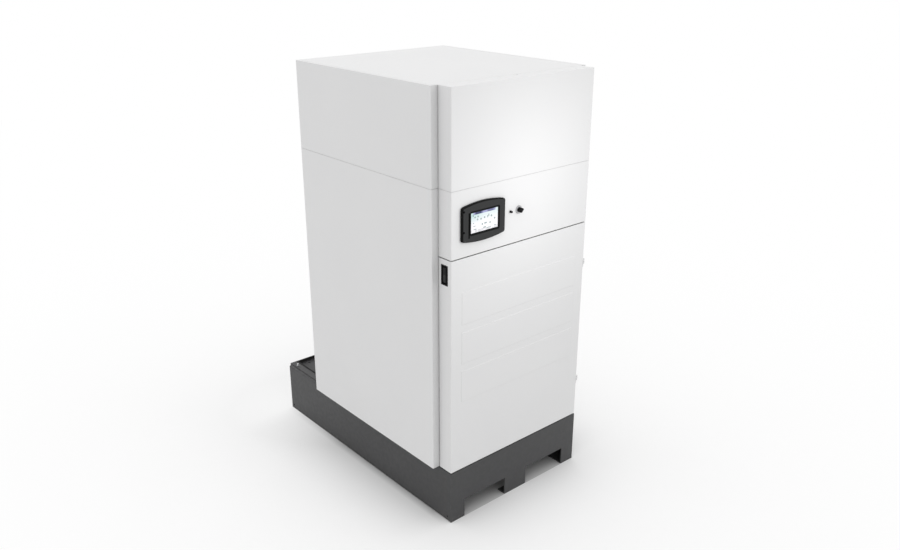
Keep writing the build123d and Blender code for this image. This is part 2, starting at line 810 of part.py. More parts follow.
# Gas inlet: a pipe stub held by a round plate on the rear panel
with BuildPart() as gas_inlet_stub:
    with BuildSketch(plane_facing_front(cabinet_rear + gas_inlet_reach)):
        with Locations((-inlet_x, gas_inlet_level)):
            Circle(gas_inlet_radius)
    extrude(amount=gas_inlet_reach + inner_stub)
    with BuildSketch(plane_facing_front(cabinet_rear + gas_plate_thickness)):
        with Locations((-inlet_x, gas_inlet_level)):
            Circle(gas_inlet_radius + gas_plate_rim)
    extrude(amount=gas_plate_thickness)
    with BuildSketch(plane_facing_front(cabinet_rear + gas_inlet_reach)):
        with Locations((-inlet_x, gas_inlet_level)):
            Circle(gas_inlet_radius - gas_inlet_wall)
    extrude(amount=gas_inlet_reach + inner_stub, mode=Mode.SUBTRACT)
write(gas_inlet_stub, "gas_inlet_stub")

# Condensate trap on the deck and its drain pipe out through the rear panel
trap_front = frame_front + trap_front_gap
with BuildPart() as condensate_trap:
    with BuildSketch(Plane.XY.offset(deck_top)):
        with Locations((trap_left, trap_front)):
            Rectangle(trap_width, trap_depth, align=(Align.MIN, Align.MIN))
    extrude(amount=trap_height)
    fillet(condensate_trap.edges().filter_by(Axis.Z), trap_edge)
write(condensate_trap, "condensate_trap")

drain_end = cabinet_rear + drain_reach
with BuildPart() as condensate_drain:
    with BuildSketch(plane_facing_front(drain_end)):
        with Locations((drain_x, drain_level)):
            Circle(drain_radius)
            Circle(drain_radius - drain_wall, mode=Mode.SUBTRACT)
    extrude(amount=drain_end - trap_front - trap_depth)
write(condensate_drain, "condensate_drain")
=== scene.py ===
import json
import math

import bmesh
import bpy
from mathutils import Matrix, Vector

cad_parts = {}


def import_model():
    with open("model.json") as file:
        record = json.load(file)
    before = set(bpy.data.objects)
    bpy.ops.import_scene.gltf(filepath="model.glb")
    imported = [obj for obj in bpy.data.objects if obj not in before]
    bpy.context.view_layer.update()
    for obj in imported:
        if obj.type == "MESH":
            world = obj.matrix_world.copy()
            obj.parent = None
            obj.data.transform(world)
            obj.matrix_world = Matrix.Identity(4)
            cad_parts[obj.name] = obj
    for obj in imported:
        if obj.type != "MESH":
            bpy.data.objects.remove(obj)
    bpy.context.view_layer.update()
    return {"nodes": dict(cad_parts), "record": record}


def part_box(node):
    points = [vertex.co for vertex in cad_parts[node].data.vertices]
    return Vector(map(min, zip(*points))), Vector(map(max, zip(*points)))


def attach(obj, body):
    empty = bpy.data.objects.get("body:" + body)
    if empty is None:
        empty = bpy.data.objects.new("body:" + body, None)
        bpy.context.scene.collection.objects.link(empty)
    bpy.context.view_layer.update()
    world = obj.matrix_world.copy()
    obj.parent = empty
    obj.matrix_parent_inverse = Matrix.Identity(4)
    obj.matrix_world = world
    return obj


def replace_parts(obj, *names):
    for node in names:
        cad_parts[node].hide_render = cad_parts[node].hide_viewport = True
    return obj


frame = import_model()

MM = 0.001
UP = Vector((0, 0, 1))
TO_FRONT = Vector((0, -1, 0))
TO_REAR = Vector((0, 1, 0))
TO_RIGHT = Vector((1, 0, 0))


# Lowest and highest corners of the nodes that the pieces sit on, read from the frame
door_low, door_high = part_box("front_door")
hood_low, hood_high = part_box("front_hood")
control_low, control_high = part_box("control_panel")
left_low, left_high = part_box("left_panel_lower")
right_low, right_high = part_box("right_panel_lower")
rear_low, rear_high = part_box("rear_panel_lower")
upper_low, upper_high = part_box("rear_panel_upper")
rail_low, rail_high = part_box("base_left_rail")
screen_low, screen_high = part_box("display_screen")
bezel_low, bezel_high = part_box("display_bezel")
ring_low, ring_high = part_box("selector_ring")
knob_low, knob_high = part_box("selector_knob")
switch_low, switch_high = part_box("burner_switch")
paddle_low, paddle_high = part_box("latch_paddle")
shell_low, shell_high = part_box("vessel_shell")
flue_low, flue_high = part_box("flue_outlet")
collar_low, collar_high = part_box("air_inlet_collar")
gas_low, gas_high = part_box("gas_inlet_stub")
trap_low, trap_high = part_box("condensate_trap")
post_low, post_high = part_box("front_posts")
rear_post_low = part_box("rear_posts")[0]

# Faces, levels and sizes that several pieces share
front_y = control_low.y
pan_back = control_high.y
flange_y = left_low.y
rear_y = left_high.y
skid_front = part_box("base_front_plate")[0].y
skid_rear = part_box("base_rear_plate")[1].y
seam_low, seam_high = control_high.z, hood_low.z
deck_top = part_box("base_deck")[1].z
skid_half_width = -rail_low.x
screen_width = screen_high.x - screen_low.x
screen_height = screen_high.z - screen_low.z


# Surfaces
AO_SAMPLES = 4
NOISE_LOW, NOISE_HIGH = 0.3, 0.7
FINE_GRAIN = (0.0007, 0.00004)
COARSE_GRAIN = (0.0015, 0.00006)
SMOOTH_GRAIN = (0.0007, 0.00002)
INK_GRAIN = (0.0009, 0.00001)
TURNED_GRAIN = (0.0006, 0.00001)
MACHINED_GRAIN = (0.0008, 0.00003)


class Surface:
    """A material being made: its shader, and short calls that add nodes to it. Sizes are in metres."""

    def __init__(self, name, colour, roughness, metallic=0.0):
        self.material = bpy.data.materials.new(name)
        self.material.use_nodes = True
        self.tree = self.material.node_tree
        self.shader = self.tree.nodes["Principled BSDF"]
        coordinates = self.tree.nodes.new("ShaderNodeTexCoord").outputs
        self.place = coordinates["Object"]
        self.normal = coordinates["Normal"]
        self.put("Base Color", colour)
        self.put("Roughness", roughness)
        self.put("Metallic", metallic)

    def feed(self, socket, value):
        """Sets a socket to a colour, vector or number, or links another node's output to it."""
        if isinstance(value, bpy.types.NodeSocket):
            self.tree.links.new(value, socket)
        elif socket.type == "RGBA":
            socket.default_value = (*value, 1.0)
        else:
            socket.default_value = value

    def put(self, socket, value):
        """Feeds one of the shader's own sockets."""
        self.feed(self.shader.inputs[socket], value)

    def node(self, kind, inputs):
        """A new node, with what its inputs are fed."""
        made = self.tree.nodes.new(f"ShaderNode{kind}")
        for name, value in inputs.items():
            self.feed(made.inputs[name], value)
        return made

    def maths(self, kind, operation, values):
        """A new Math or VectorMath node, with its values in order."""
        made = self.tree.nodes.new(f"ShaderNode{kind}")
        made.operation = operation
        for socket, value in zip(made.inputs, values):
            self.feed(socket, value)
        return made.outputs

    def times(self, first, second):
        return self.maths("Math", "MULTIPLY", (first, second))[0]

    def larger(self, first, second):
        return self.maths("Math", "MAXIMUM", (first, second))[0]

    def span(self, value, low, high, out_low=0.0, out_high=1.0):
        """Maps a number from one range to another, and holds it at the range's ends."""
        limits = {"From Min": low, "From Max": high, "To Min": out_low, "To Max": out_high}
        return self.node("MapRange", {"Value": value, **limits}).outputs[0]

    def fall(self, value, low, high):
        """Falls from 1 at a range's start to 0 at its end."""
        return self.span(value, low, high, 1.0, 0.0)

    def blend(self, factor, first, second):
        """A colour between two, each given as a colour or as another node's output."""
        made = self.tree.nodes.new("ShaderNodeMix")
        made.data_type = "RGBA"
        factor_socket, first_colour, second_colour = (made.inputs[index] for index in (0, 6, 7))
        self.feed(factor_socket, factor)
        self.feed(first_colour, first)
        self.feed(second_colour, second)
        return made.outputs[2]

    def noise(self, size, detail=2.0, stretch=None):
        """Cloudy noise whose blotches are about that size."""
        place = self.place
        if stretch:
            place = self.node("Mapping", {"Vector": place, "Scale": stretch}).outputs[0]
        return self.node("TexNoise", {"Vector": place, "Scale": 1 / size, "Detail": detail}).outputs[0]

    def cells(self, size, output="Distance"):
        """Rounded or coloured cells of about that size."""
        return self.node("TexVoronoi", {"Vector": self.place, "Scale": 1 / size}).outputs[output]

    def along(self, axis):
        """The place along an axis of the object."""
        return self.node("SeparateXYZ", {"Vector": self.place}).outputs[axis]

    def facing(self, axis):
        """How far the surface faces along an axis of the object, from -1 to 1."""
        return self.node("SeparateXYZ", {"Vector": self.normal}).outputs[axis]

    def openness(self, reach):
        """1 in the open and less in a corner, judged by what stands within reach."""
        made = self.node("AmbientOcclusion", {"Distance": reach})
        made.samples = AO_SAMPLES
        return made.outputs["AO"]

    def bump(self, height, depth, below=None):
        """A bump of that depth, on top of another one if there is one below."""
        inputs = {"Height": height, "Distance": depth}
        if below is not None:
            inputs["Normal"] = below
        return self.node("Bump", inputs).outputs[0]

    def mottle(self, first, second, size, detail=2.0):
        """A colour that wanders between two, in blotches of about that size."""
        return self.blend(self.noise(size, detail), first, second)

    def wander(self, noise, low, high):
        """Lets the roughness wander between two values as a noise does."""
        self.put("Roughness", self.span(noise, NOISE_LOW, NOISE_HIGH, low, high))

    def grain(self, size, depth, detail=2.0):
        """Gives the surface a grain of that size and depth."""
        self.put("Normal", self.bump(self.noise(size, detail), depth))


def grey(tone):
    return (tone, tone, tone)


def powder_coat(name, light, dark, roughness):
    """Baked powder coat: orange peel, a fine grain, and a slight drift of tone over the sheet.

    It gives the surface and its tone, for what lies on the coat.
    """
    surface = Surface(name, light, roughness)
    tone = surface.mottle(dark, light, size=0.4)
    surface.put("Base Color", tone)
    surface.wander(surface.noise(0.02, 3), roughness - 0.05, roughness + 0.05)
    peel = surface.bump(surface.noise(0.0035), depth=0.00008)
    surface.put("Normal", surface.bump(surface.noise(0.0008), depth=0.00002, below=peel))
    return surface, tone


def white_paint():
    """White coat with painted shade: it greys a little in corners, where other parts stand close."""
    surface, tone = powder_coat("white_powder_coat", grey(0.83), (0.80, 0.80, 0.805), 0.42)
    # Painted shade: the coat is greyed where other parts stand within reach.
    dust_and_painted_shade = surface.fall(surface.openness(reach=0.09), 0.45, 0.85)
    surface.put("Base Color", surface.blend(dust_and_painted_shade, tone, grey(0.62)))
    return surface.material


def skid_paint():
    """Dark coat with pale scuffs where the skid meets the floor."""
    surface, tone = powder_coat("dark_powder_coat", (0.052, 0.052, 0.053), (0.045, 0.045, 0.047), 0.5)
    scuff_height = 0.03
    low = surface.fall(surface.along("Z"), 0.0, scuff_height)
    specks = surface.span(surface.noise(0.012, 6), 0.56, 0.66)
    surface.put("Base Color", surface.blend(surface.times(low, specks), tone, grey(0.085)))
    return surface.material


def deck_paint():
    """Dark coat under a film of dust."""
    surface, tone = powder_coat("deck_coat", (0.06, 0.06, 0.062), (0.045, 0.045, 0.047), 0.55)
    dust_and_painted_shade = surface.span(surface.noise(0.15, 6), 0.45, 0.7)
    surface.put("Base Color", surface.blend(dust_and_painted_shade, tone, (0.085, 0.085, 0.083)))
    return surface.material


def frame_primer():
    return powder_coat("grey_primer", (0.26, 0.27, 0.28), (0.21, 0.22, 0.23), 0.6)[0].material


def zinc_plate():
    """Zinc plating with its faint crystal pattern."""
    surface = Surface("zinc_plate", (0.62, 0.63, 0.64), 0.35, 1.0)
    crystals = surface.cells(0.009, "Color")
    surface.put("Base Color", surface.blend(crystals, (0.55, 0.56, 0.58), (0.70, 0.71, 0.71)))
    surface.put("Roughness", surface.span(crystals, 0.0, 1.0, 0.28, 0.46))
    surface.grain(size=0.002, depth=0.00003)
    return surface.material


def brushed_stainless():
    """Stainless sheet with fine level brush lines."""
    surface = Surface("brushed_stainless", (0.63, 0.62, 0.60), 0.32, 1.0)
    lines = surface.noise(0.1, 4, stretch=(1.0, 1.0, 120.0))
    surface.put("Base Color", surface.blend(lines, (0.54, 0.53, 0.51), (0.70, 0.69, 0.67)))
    surface.wander(lines, 0.24, 0.42)
    surface.put("Normal", surface.bump(lines, depth=0.00002))
    return surface.material


def embossed_jacket():
    """Aluminium lagging sheet with its hammered pattern."""
    surface = Surface("embossed_jacket", (0.70, 0.71, 0.72), 0.38, 1.0)
    tone = surface.mottle((0.60, 0.61, 0.62), (0.74, 0.75, 0.76), size=0.05, detail=4)
    surface.put("Base Color", tone)
    surface.put("Normal", surface.bump(surface.cells(0.007), depth=0.0006))
    return surface.material


def heatproof_black():
    surface = Surface("heatproof_black", (0.035, 0.035, 0.037), 0.62)
    tone = surface.mottle((0.022, 0.022, 0.024), (0.06, 0.058, 0.056), size=0.03, detail=5)
    surface.put("Base Color", tone)
    surface.grain(size=0.0012, depth=0.00008)
    return surface.material


def mill_pipe():
    """Black mill scale with a little rust bloom."""
    surface = Surface("mill_pipe", (0.07, 0.07, 0.075), 0.5, 0.35)
    scale = surface.mottle((0.045, 0.045, 0.05), (0.10, 0.10, 0.105), size=0.02, detail=5)
    bloom = surface.span(surface.noise(0.035, 8), 0.58, 0.72)
    surface.put("Base Color", surface.blend(bloom, scale, (0.16, 0.10, 0.07)))
    surface.grain(size=0.0015, depth=0.00012, detail=3)
    return surface.material


def bare_metal(name, colour, blotches, roughness, grain):
    """Machined or turned metal with an uneven sheen."""
    surface = Surface(name, colour, 0.3, 1.0)
    surface.wander(surface.noise(*blotches), *roughness)
    surface.grain(*grain)
    return surface.material


def moulded_plastic(name, colour, roughness, grain, shine=0.5):
    """Moulded plastic with a spark-eroded grain."""
    surface = Surface(name, colour, roughness)
    surface.put("Specular IOR Level", shine)
    paler = tuple(channel * 1.35 + 0.002 for channel in colour)
    surface.put("Base Color", surface.mottle(colour, paler, size=0.006, detail=4))
    surface.wander(surface.noise(0.003, 3), roughness - 0.07, roughness + 0.07)
    surface.grain(*grain)
    return surface.material


def bezel_plastic():
    """Grained black plastic, duller on its rounded edges and walls, which get a painted shade of deeper
    black.
    """
    colour = (0.014, 0.0145, 0.015)
    face_roughness, wall_roughness = 0.5, 0.95
    surface = Surface("bezel_plastic", colour, face_roughness)
    surface.put("Specular IOR Level", 0.4)
    face = surface.mottle(colour, (0.018, 0.0185, 0.019), size=0.006, detail=4)
    # Painted shade: faces turned away from the front are painted near black.
    painted_wall_shade = surface.span(surface.facing("Y"), -0.96, -0.85)
    surface.put("Base Color", surface.blend(painted_wall_shade, face, grey(0.001)))
    surface.put("Roughness", surface.span(painted_wall_shade, 0.0, 1.0, face_roughness, wall_roughness))
    surface.grain(size=0.0009, depth=0.00006)
    return surface.material


def cellular_rubber(name, dark, light):
    """Sponge rubber, whose cut cells give it a fine mottle."""
    surface = Surface(name, dark, 0.85)
    surface.put("Specular IOR Level", 0.15)
    surface.put("Base Color", surface.mottle(dark, light, size=0.004, detail=5))
    surface.grain(size=0.0015, depth=0.00025, detail=4)
    return surface.material


def lit_screen():
    """A lit display behind glass: a violet header, and a field that fades from pale teal to white."""
    white, teal = (0.86, 0.84, 0.88), (0.50, 0.67, 0.66)
    violet, dark_violet = (0.32, 0.33, 0.55), (0.02, 0.03, 0.11)
    surface = Surface("lit_screen", (0.8, 0.85, 0.88), 0.12)

    def across(start, end, out_start=0.0, out_end=1.0):
        """Goes from one value to another between two shares of the screen's width."""
        low, high = (screen_low.x + share * screen_width for share in (start, end))
        return surface.span(surface.along("X"), low, high, out_start, out_end)

    def upwards(start, end, out_start=0.0, out_end=1.0):
        """Goes from one value to another between two shares of the screen's height."""
        low, high = (screen_low.z + share * screen_height for share in (start, end))
        return surface.span(surface.along("Z"), low, high, out_start, out_end)

    tint = surface.times(upwards(0.4, 0.85), across(0.1, 0.5, 1.0, 0.55))
    field = surface.blend(tint, white, teal)
    specks = surface.span(surface.noise(0.012, 1), 0.42, 0.55)
    field = surface.blend(surface.times(upwards(0.12, 0.16, 1.0, 0.0), specks), field, (0.64, 0.64, 0.66))
    header = surface.times(upwards(0.885, 0.895), across(0.07, 0.10))
    header = surface.times(header, across(0.88, 0.94, 1.0, 0.0))
    titles = surface.times(across(0.12, 0.18), across(0.36, 0.46, 1.0, 0.0))
    keys = surface.times(across(0.58, 0.64, 0.0, 0.6), across(0.80, 0.90, 1.0, 0.0))
    bar = surface.blend(surface.larger(titles, keys), violet, dark_violet)
    picture = surface.blend(header, field, bar)
    surface.put("Base Color", picture)
    surface.put("Emission Color", picture)
    surface.put("Emission Strength", 0.16)
    surface.put("Coat Weight", 0.6)
    surface.put("Coat Roughness", 0.04)
    surface.grain(size=0.05, depth=0.00002)
    return surface.material


surfaces = {
    "white_paint": white_paint(),
    "skid_paint": skid_paint(),
    "deck_paint": deck_paint(),
    "frame_steel": frame_primer(),
    "zinc_steel": zinc_plate(),
    "black_rubber": cellular_rubber("gasket_foam", grey(0.45), grey(0.51)),
    "bezel_plastic": bezel_plastic(),
    "screen_glass": lit_screen(),
    "black_plastic": moulded_plastic("black_plastic", (0.003, 0.003, 0.0035), 0.42, FINE_GRAIN, 0.2),
    "ring_metal": bare_metal("turned_chrome", (0.48, 0.48, 0.49), (0.003, 4), (0.24, 0.36), TURNED_GRAIN),
    "jacket_sheet": embossed_jacket(),
    "vessel_steel": heatproof_black(),
    "stainless": brushed_stainless(),
    "pipe_steel": mill_pipe(),
    "trap_plastic": moulded_plastic("trap_plastic", (0.50, 0.51, 0.52), 0.5, COARSE_GRAIN),
}
dark_foam = cellular_rubber("dark_foam", grey(0.016), grey(0.04))
grey_plastic = moulded_plastic("grey_plastic", (0.035, 0.036, 0.038), 0.5, FINE_GRAIN)
deep_black = moulded_plastic("deep_black", grey(0.0015), 0.9, SMOOTH_GRAIN, 0.05)
border_black = moulded_plastic("border_black", (0.007, 0.0075, 0.0075), 0.9, SMOOTH_GRAIN, 0.2)
icon_ink = moulded_plastic("icon_ink", (0.27, 0.35, 0.34), 0.3, INK_GRAIN)
steel_face = bare_metal("machined_steel", grey(0.50), (0.004, 3), (0.22, 0.42), MACHINED_GRAIN)

for part in frame["record"]["subparts"]:
    node = frame["nodes"][part["node"]]
    node.data.materials.clear()
    node.data.materials.append(surfaces[part["material_slot"]])


# Places and outlines
CORNER_STEPS = 5
NEARLY_UPRIGHT = 0.99


def placed(place, normal):
    """Local frame at a place, with +Z along the normal and +Y upwards, or to the rear on a level face."""
    z = Vector(normal).normalized()
    up = TO_REAR if abs(z.dot(UP)) > NEARLY_UPRIGHT else UP
    x = up.cross(z).normalized()
    turn = Matrix((x, z.cross(x), z)).transposed()
    return Matrix.Translation(place) @ turn.to_4x4()


def on_axis(low, high, normal, level):
    """Local frame in the middle of a box, at a level along the normal's axis."""
    place = (low + high) / 2
    if normal.y:
        place.y = level
    else:
        place.z = level
    return placed(place, normal)


def round_places(matrix, radius, height, count, first):
    """Places spread evenly round a local frame's axis, the first at an angle in degrees."""
    for step in range(count):
        angle = math.radians(first + 360 / count * step)
        yield matrix @ Vector((radius * math.cos(angle), radius * math.sin(angle), height))


def half_width(low, high):
    return (high.x - low.x) / 2


def hexagon(radius):
    """Outline of a hexagon for a turned ring, from its corner radius."""
    sixth = math.pi / 3
    return lambda angle: radius * math.cos(sixth / 2) / math.cos(angle % sixth - sixth / 2)


def knurled(radius, depth, teeth):
    """Outline with rounded grooves round a turned ring."""
    return lambda angle: radius - depth * (0.5 - 0.5 * math.cos(teeth * angle))


def rounded_rectangle(width, height, corner):
    points = []
    for quarter, (side, rise) in enumerate(((1, 1), (-1, 1), (-1, -1), (1, -1))):
        for step in range(CORNER_STEPS + 1):
            angle = math.pi / 2 * (quarter + step / CORNER_STEPS)
            x = side * (width / 2 - corner) + corner * math.cos(angle)
            y = rise * (height / 2 - corner) + corner * math.sin(angle)
            points.append((x, y))
    return points


def disc(radius, low, high):
    """Profile of a plain disc between two heights."""
    return [(0, low), (radius, low), (radius, high), (0, high)]


def scaled(shares, radius, base=0.0):
    """A profile given in shares of a radius, above a base. An outline in it keeps its own size."""
    return [(reach if callable(reach) else reach * radius, base + rise * radius) for reach, rise in shares]


# Meshes
SAME_PLACE = 1e-7
MERGE_WITHIN = 1e-6
SHARP_ANGLE = math.radians(35)
SCREW_ROUND, KNOB_ROUND, PIPE_ROUND, DRUM_ROUND = 24, 48, 72, 120


class Piece:
    """A mesh being made from turned, lofted and straight shapes."""

    def __init__(self, name):
        self.name = name
        self.mesh = bmesh.new()

    def loft(self, loops):
        """Closes the space between loops of points, in order.

        Each end gets a face, unless the last loop comes back to the first.
        """
        rings = [[self.mesh.verts.new(point) for point in loop] for loop in loops]
        for low, high in zip(rings, rings[1:]):
            count = max(len(low), len(high))
            for step in range(count):
                corners = [low[step % len(low)], low[(step + 1) % len(low)]]
                corners += [high[(step + 1) % len(high)], high[step % len(high)]]
                corners = list(dict.fromkeys(corners))
                if len(corners) > 2:
                    self.mesh.faces.new(corners)
        first, last = rings[0], rings[-1]
        if (first[0].co - last[0].co).length < SAME_PLACE:
            return
        for ring in (first, last):
            if len(ring) > 2:
                self.mesh.faces.new(ring)

    def turned(self, matrix, profile, segments=SCREW_ROUND):
        """A turned shape from a profile of (radius, height), where a radius may be an outline."""
        loops = []
        for radius, height in profile:
            loop = []
            for step in range(1 if radius == 0 else segments):
                angle = 2 * math.pi * step / segments
                reach = radius(angle) if callable(radius) else radius
                loop.append(matrix @ Vector((reach * math.cos(angle), reach * math.sin(angle), height)))
            loops.append(loop)
        self.loft(loops)

    def plate(self, matrix, outlines):
        """A plate or grip from (outline, height) pairs, from the seat upwards."""
        self.loft([[matrix @ Vector((x, y, height)) for x, y in outline] for outline, height in outlines])

    def block(self, low, high, edge=0.0, matrix=None):
        """A block between two corners, with its edges rounded, in a local frame if one is given."""
        lump = bmesh.new()
        bmesh.ops.create_cube(lump, size=1.0)
        size = Vector(high) - Vector(low)
        for vertex in lump.verts:
            vertex.co = Vector(low) + Vector((c + 0.5) * s for c, s in zip(vertex.co, size))
        if edge:
            bmesh.ops.bevel(lump, geom=lump.edges[:], offset=edge, segments=2, profile=0.6, affect="EDGES")
        if matrix is not None:
            lump.transform(matrix)
        scrap = bpy.data.meshes.new("scrap")
        lump.to_mesh(scrap)
        self.mesh.from_mesh(scrap)
        bpy.data.meshes.remove(scrap)
        lump.free()

    def mirrored_blocks(self, inner, outer, low, high, edge=0.0):
        """A block on each side of the middle, between two distances from it and two corners in (y, z)."""
        for side in (-1, 1):
            left, right = sorted((side * inner, side * outer))
            self.block((left, *low), (right, *high), edge)

    def done(self, body, slot, surface=None):
        """Makes the object, dresses it and lets it ride on its body."""
        bmesh.ops.remove_doubles(self.mesh, verts=self.mesh.verts, dist=MERGE_WITHIN)
        bmesh.ops.recalc_face_normals(self.mesh, faces=self.mesh.faces)
        data = bpy.data.meshes.new(self.name)
        self.mesh.to_mesh(data)
        self.mesh.free()
        data.shade_smooth()
        data.set_sharp_from_angle(angle=SHARP_ANGLE)
        data.materials.append(surface or surfaces[slot])
        made = bpy.data.objects.new(self.name, data)
        bpy.context.scene.collection.objects.link(made)
        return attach(made, body)


def button_screw(piece, place, normal, radius, washer=True):
    """A button-head screw with a hexagon socket, and with a washer unless told otherwise."""
    matrix = placed(place, normal)
    seat = 0.18 * radius if washer else 0.0
    if washer:
        piece.turned(matrix, disc(1.45 * radius, 0, seat))
    socket = hexagon(0.48 * radius)
    head = [(0, 0), (1, 0), (0.97, 0.22), (0.8, 0.46), (0.58, 0.56)]
    piece.turned(matrix, scaled([*head, (socket, 0.56), (socket, 0.22), (0, 0.18)], radius, seat))


def hex_bolt(piece, place, normal, radius):
    """A hexagon bolt head, chamfered on top, on its washer."""
    matrix = placed(place, normal)
    piece.turned(matrix, disc(1.3 * radius, 0, 0.2 * radius))
    head = hexagon(1.1 * radius)
    piece.turned(matrix, scaled([(0, 0.2), (head, 0.2), (head, 0.75), (0.9, 0.88), (0, 0.88)], radius))


# Thin strips behind the seam between the upper and lower panels, a hair below the paint
SEAM_DEPTH = 1.6 * MM
SEAM_BACK = 2.4 * MM


def seam_strips():
    piece = Piece("seam_strips")
    cabinet_left, cabinet_right = left_low.x, right_high.x
    pan_left, pan_right = control_low.x, control_high.x
    side_start, side_end = flange_y + SEAM_BACK, rear_y - SEAM_BACK
    return_start = front_y + SEAM_BACK
    runs = [
        ((cabinet_left + SEAM_DEPTH, side_start), (cabinet_left + SEAM_BACK, side_end)),
        ((cabinet_right - SEAM_BACK, side_start), (cabinet_right - SEAM_DEPTH, side_end)),
        ((cabinet_left + SEAM_BACK, side_end), (cabinet_right - SEAM_BACK, rear_y - SEAM_DEPTH)),
        ((pan_left + SEAM_BACK, front_y + SEAM_DEPTH), (pan_right - SEAM_BACK, return_start)),
        ((pan_left + SEAM_DEPTH, return_start), (pan_left + SEAM_BACK, pan_back)),
        ((pan_right - SEAM_BACK, return_start), (pan_right - SEAM_DEPTH, pan_back)),
    ]
    for start, end in runs:
        piece.block((*start, seam_low), (*end, seam_high))
    return piece.done("cabinet", "white_paint")


def flange_foam():
    """Foam behind the seam on the side panels' front flanges."""
    piece = Piece("flange_foam")
    low, high = (flange_y + SEAM_DEPTH, seam_low), (flange_y + SEAM_BACK, seam_high)
    piece.mirrored_blocks(right_low.x, right_high.x - SEAM_BACK, low, high)
    return piece.done("cabinet", "black_rubber")


# Foot of the cabinet: the side panels' folds, and foam between the panels and the skid
SHEET = 1.9 * MM
FOLD_THICKNESS = 1.5 * MM
FOLD_EDGE = 0.3 * MM
POST_GAP = 1 * MM
POST_WIDTH = 40 * MM
FOAM_WIDTH = 9 * MM
FOAM_OVERLAP = 4 * MM
FOAM_ROUND = 0.5 * MM


def panel_folds():
    piece = Piece("panel_folds")
    low = (flange_y + SHEET, left_low.z)
    high = (rear_y - SHEET, left_low.z + FOLD_THICKNESS)
    piece.mirrored_blocks(post_high.x + POST_GAP, right_high.x - SHEET, low, high, FOLD_EDGE)
    return piece.done("cabinet", "white_paint")


def sill_foam():
    piece = Piece("sill_foam")
    outer = post_high.x + 2 * POST_GAP
    low = (post_high.y + POST_GAP, post_low.z)
    high = (rear_post_low.y - POST_GAP, left_low.z)
    piece.mirrored_blocks(outer - FOAM_WIDTH, outer, low, high, FOAM_ROUND)
    reach = -rear_post_low.x - POST_WIDTH - POST_GAP
    face = rear_y - SHEET
    piece.block((-reach, face - FOAM_WIDTH, deck_top), (reach, face, rear_low.z + FOAM_OVERLAP), FOAM_ROUND)
    return piece.done("cabinet", "black_rubber", dark_foam)


# Foam seal on the door's rear rim, which closes on the panels' flanges
SEAL_WIDTH = 12 * MM
SEAL_INSET = 0.5 * MM
SEAL_HEIGHT = 5 * MM
SEAL_ROUND = 1.5 * MM


def door_seal():
    piece = Piece("door_seal")
    low = Vector((door_low.x + SEAL_INSET, pan_back, door_low.z + SEAL_INSET))
    high = Vector((door_high.x - SEAL_INSET, pan_back + SEAL_HEIGHT, door_high.z - SEAL_INSET))
    left, right = low.x + SEAL_WIDTH, high.x - SEAL_WIDTH
    piece.block(low, (left, high.y, high.z), SEAL_ROUND)
    piece.block((right, low.y, low.z), high, SEAL_ROUND)
    piece.block((left, low.y, high.z - SEAL_WIDTH), (right, high.y, high.z), SEAL_ROUND)
    piece.block((left, low.y, low.z), (right, high.y, low.z + SEAL_WIDTH), SEAL_ROUND)
    return piece.done("door", "black_rubber")


# Thin foam under the control section, over the door's top
STRIP_THICKNESS = 1 * MM
STRIP_INSET = 2 * MM
STRIP_ROUND = 0.2 * MM


def control_foam():
    piece = Piece("control_foam")
    low = (control_low.x + STRIP_INSET, front_y + STRIP_INSET, control_low.z - STRIP_THICKNESS)
    high = (control_high.x - STRIP_INSET, pan_back - STRIP_INSET, control_low.z)
    piece.block(low, high, STRIP_ROUND)
    return piece.done("cabinet", "black_rubber", dark_foam)


# Display: dark border round the lit field, its marks, a strip beside it, and the bezel's screws
BORDER = 8.6 * MM
BORDER_SUNK = 0.2 * MM
BORDER_THICKNESS = 0.9 * MM
BORDER_CORNER = 0.5 * MM
EDGE_WIDTH = 7 * MM
EDGE_TAIL = 10 * MM
EDGE_DROP = 4 * MM
MARK_HEIGHT = 0.3 * MM
UNITS_UP_SCREEN = 91
DOT_UNITS = 4.2
DOT_SEGMENTS = 16
BEZEL_SCREW = 4.5 * MM
BEZEL_SCREW_INSET = 7 * MM
BEZEL_SCREW_FROM_TOP = 29 * MM
BEZEL_SCREW_FROM_BASE = 55 * MM


def screen_place(across, up):
    """A point on the screen, as shares of its width and height from its lower left corner."""
    return Vector((screen_low.x + across * screen_width, screen_low.y, screen_low.z + up * screen_height))


def screen_border():
    piece = Piece("screen_border")
    matrix = on_axis(screen_low, screen_high, TO_FRONT, screen_low.y + BORDER_SUNK)
    outer = rounded_rectangle(screen_width + 2 * BORDER, screen_height + 2 * BORDER, BORDER)
    inner = rounded_rectangle(screen_width, screen_height, BORDER_CORNER)
    top = BORDER_THICKNESS
    piece.plate(matrix, [(inner, 0.0), (outer, 0.0), (outer, top), (inner, top), (inner, 0.0)])
    return piece.done("cabinet", "black_plastic", border_black)


def screen_edge():
    """A narrow matt strip on the bezel, beside the screen's opening."""
    piece = Piece("screen_edge")
    low, high = screen_low.z - BORDER - EDGE_TAIL, screen_high.z + BORDER - EDGE_DROP
    place = (screen_low.x - BORDER - EDGE_WIDTH / 2, bezel_low.y, (low + high) / 2)
    strip = rounded_rectangle(EDGE_WIDTH, high - low, EDGE_WIDTH / 3)
    piece.plate(placed(place, TO_FRONT), [(strip, 0.0), (strip, MARK_HEIGHT)])
    return piece.done("cabinet", "black_plastic", deep_black)


